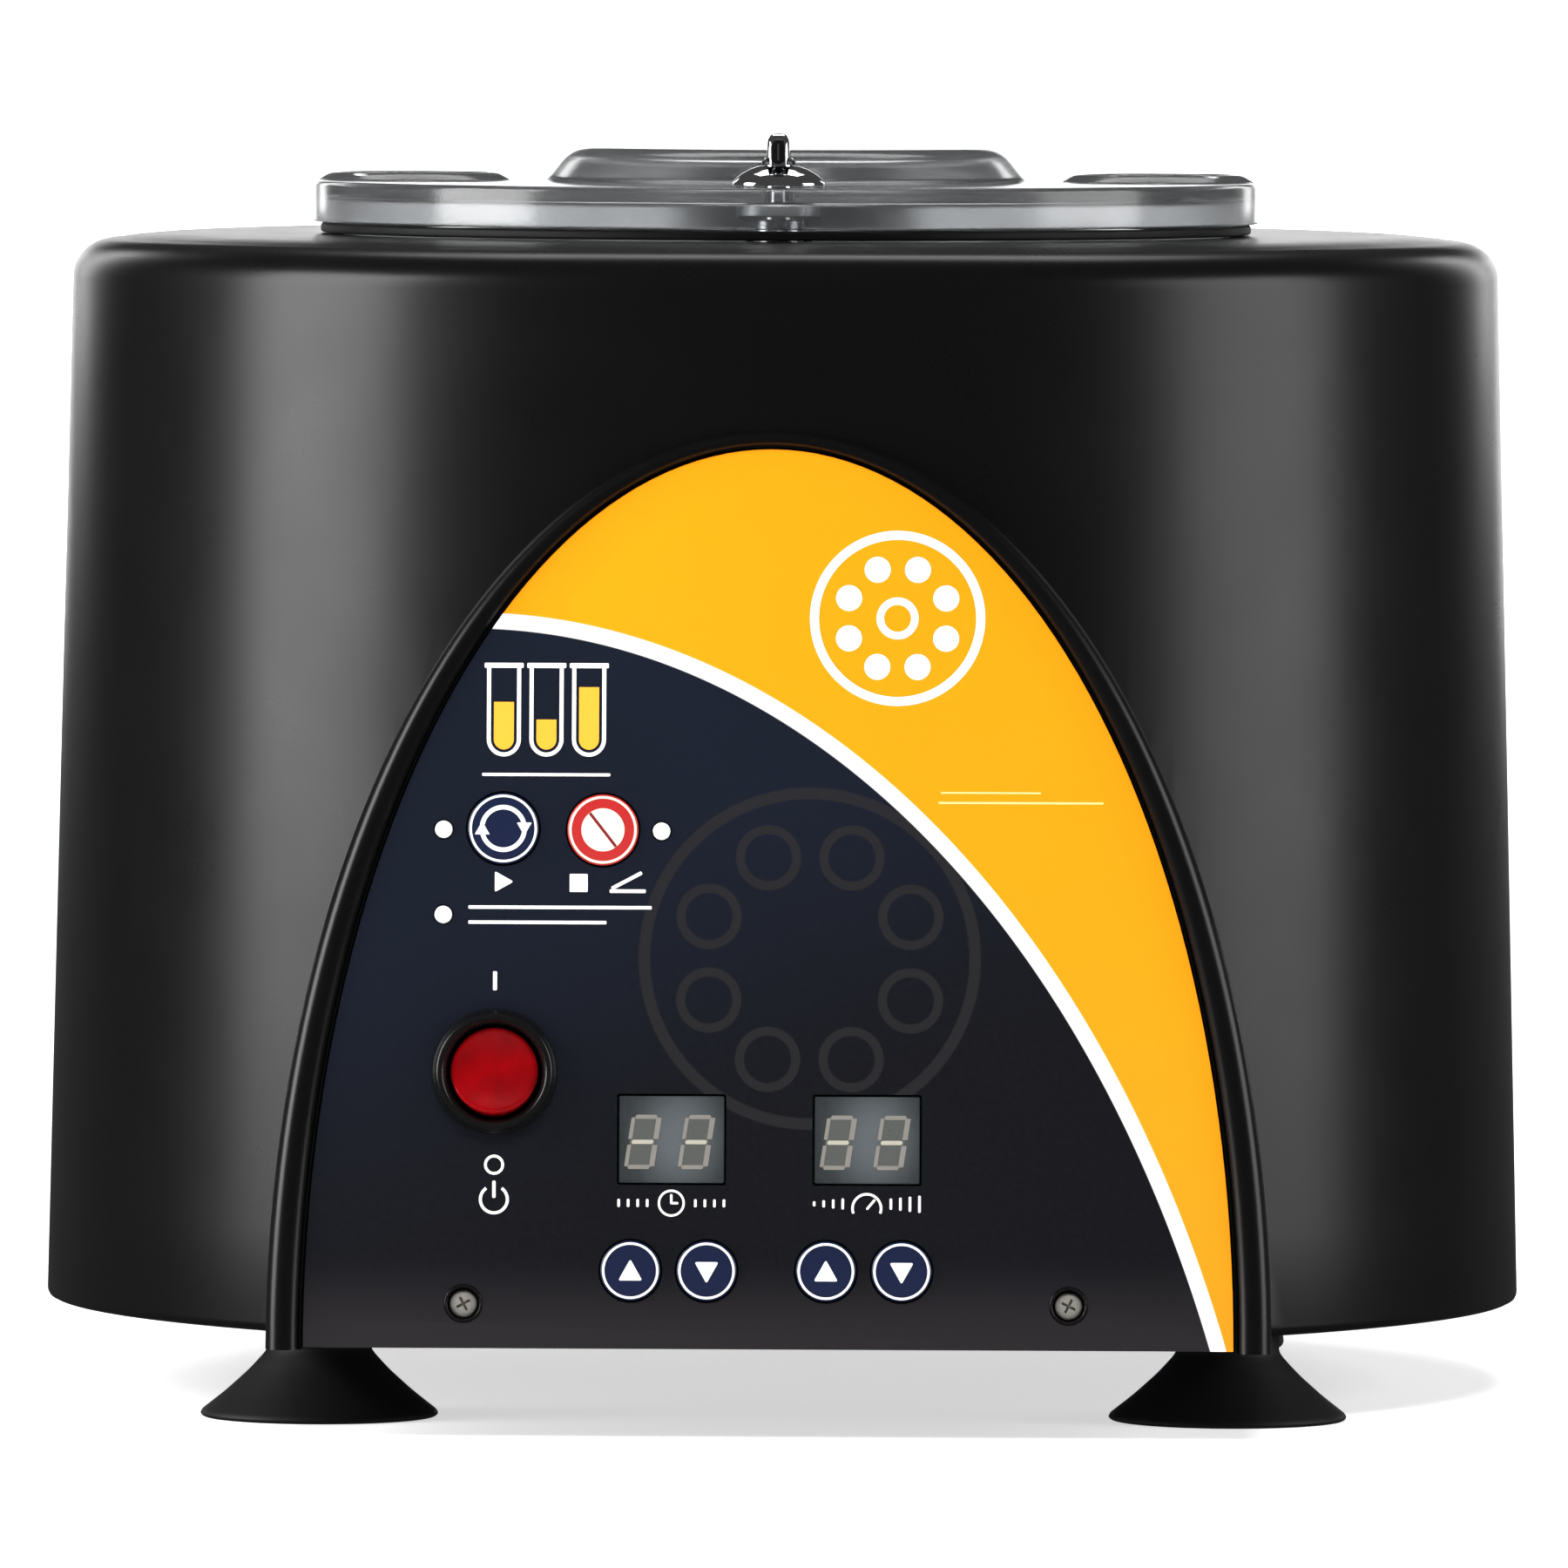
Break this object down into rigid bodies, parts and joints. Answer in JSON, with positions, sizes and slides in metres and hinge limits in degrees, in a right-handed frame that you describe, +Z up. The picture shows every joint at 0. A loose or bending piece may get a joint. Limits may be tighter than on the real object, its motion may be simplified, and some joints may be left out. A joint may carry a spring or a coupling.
{
  "type": "benchtop centrifuge",
  "caption": "Round benchtop centrifuge with a clear hinged lid, a fixed-angle tube rotor, an arched control panel and suction-cup feet.",
  "frame": {"origin": "on the table under the middle of the object's box", "axes": "+Z up, -Y towards the front panel, +X to the right of someone facing the panel"},
  "size_m": [0.305, 0.339, 0.26],
  "materials": {
    "housing_black": "satin moulded black",
    "panel_black": "fine satin",
    "panel_overlay": "printed film, navy, amber and white, soft sheen",
    "key_navy": "printed cap with white ring and arrow",
    "key_red": "printed cap, red ring on white",
    "rocker_red": "polished moulding",
    "lamp_white": "frosted lens",
    "display_window": "tinted window over unlit digits",
    "black_rubber": "matte",
    "plated_sheet": "zinc plated",
    "bright_steel": "bright turned",
    "chrome": "polished",
    "rotor_alloy": "fine turned",
    "bowl_metal": "spun",
    "lid_clear": "clear moulded plastic with a smoky tint",
    "board_green": "solder mask"
  },
  "bodies": {
    "housing": {"base_plate": "plated_sheet", "chamber_bowl": "bowl_metal", "control_board": "board_green", "control_panel": "panel_black", "fault_lamp": "lamp_white", "foot_front_left": "black_rubber", "foot_front_right": "black_rubber", "foot_rear_left": "black_rubber", "foot_rear_right": "black_rubber", "fuse_holder": "panel_black", "hinge_bracket": "plated_sheet", "hinge_pin": "bright_steel", "housing_shell": "housing_black", "lid_gasket": "black_rubber", "lid_sensor": "panel_black", "lock_solenoid": "plated_sheet", "motor_bearing_bottom": "bright_steel", "motor_bearing_top": "bright_steel", "motor_can": "plated_sheet", "motor_mount_1": "black_rubber", "motor_mount_2": "black_rubber", "motor_mount_3": "black_rubber", "motor_plate": "plated_sheet", "panel_overlay": "panel_overlay", "panel_screw_left": "bright_steel", "panel_screw_right": "bright_steel", "power_board": "board_green", "power_inlet": "panel_black", "run_lamp": "lamp_white", "shaft_boot": "black_rubber", "speed_display": "display_window", "stop_lamp": "lamp_white", "strike_plate": "bright_steel", "switch_bezel": "panel_black", "time_display": "display_window"},
    "lid": {"lid_shell": "lid_clear", "latch_dome": "chrome", "latch_nut": "bright_steel", "hinge_leaf": "plated_sheet"},
    "latch": {"latch_knob": "chrome", "latch_cam": "bright_steel"},
    "rotor": {"rotor_body": "rotor_alloy", "tube_sleeve_1": "bright_steel", "tube_sleeve_2": "bright_steel", "tube_sleeve_3": "bright_steel", "tube_sleeve_4": "bright_steel", "tube_sleeve_5": "bright_steel", "tube_sleeve_6": "bright_steel", "tube_sleeve_7": "bright_steel", "tube_sleeve_8": "bright_steel", "rotor_knob": "panel_black", "motor_shaft": "bright_steel"},
    "rocker": {"power_rocker": "rocker_red"},
    "lock": {"lock_bolt": "bright_steel"},
    "run_button": {"run_key": "key_navy"},
    "stop_button": {"stop_key": "key_red"},
    "time_up_button": {"time_up_key": "key_navy"},
    "time_down_button": {"time_down_key": "key_navy"},
    "speed_up_button": {"speed_up_key": "key_navy"},
    "speed_down_button": {"speed_down_key": "key_navy"}
  },
  "joints": [
    {"name": "lid_hinge", "type": "hinge", "parent": "housing", "child": "lid", "pos_m": [0, 0.1005, 0.246], "axis": [-1, 0, 0], "range_deg": [0, 100]},
    {"name": "latch_turn", "type": "hinge", "parent": "lid", "child": "latch", "pos_m": [0, -0.0915, 0.25], "axis": [0, 0, 1], "range_deg": [0, 90]},
    {"name": "rotor_spin", "type": "hinge", "parent": "housing", "child": "rotor", "pos_m": [0, -0.0055, 0.18], "axis": [0, 0, 1], "continuous": true},
    {"name": "power_rocker_tilt", "type": "hinge", "parent": "housing", "child": "rocker", "pos_m": [-0.0548, -0.16368, 0.07343], "axis": [1, 0, 0], "range_deg": [0, 20]},
    {"name": "lock_slide", "type": "slide", "parent": "housing", "child": "lock", "axis": [0, 1, 0], "range_m": [0, 0.007], "stiffness_N_per_m": 60},
    {"name": "run_press", "type": "slide", "parent": "housing", "child": "run_button", "axis": [0, 0.9969, -0.0785], "range_m": [0, 0.0005], "stiffness_N_per_m": 1000},
    {"name": "stop_press", "type": "slide", "parent": "housing", "child": "stop_button", "axis": [0, 0.9969, -0.0785], "range_m": [0, 0.0005], "stiffness_N_per_m": 1000},
    {"name": "time_up_press", "type": "slide", "parent": "housing", "child": "time_up_button", "axis": [0, 0.9969, -0.0785], "range_m": [0, 0.0005], "stiffness_N_per_m": 1000},
    {"name": "time_down_press", "type": "slide", "parent": "housing", "child": "time_down_button", "axis": [0, 0.9969, -0.0785], "range_m": [0, 0.0005], "stiffness_N_per_m": 1000},
    {"name": "speed_up_press", "type": "slide", "parent": "housing", "child": "speed_up_button", "axis": [0, 0.9969, -0.0785], "range_m": [0, 0.0005], "stiffness_N_per_m": 1000},
    {"name": "speed_down_press", "type": "slide", "parent": "housing", "child": "speed_down_button", "axis": [0, 0.9969, -0.0785], "range_m": [0, 0.0005], "stiffness_N_per_m": 1000}
  ]
}
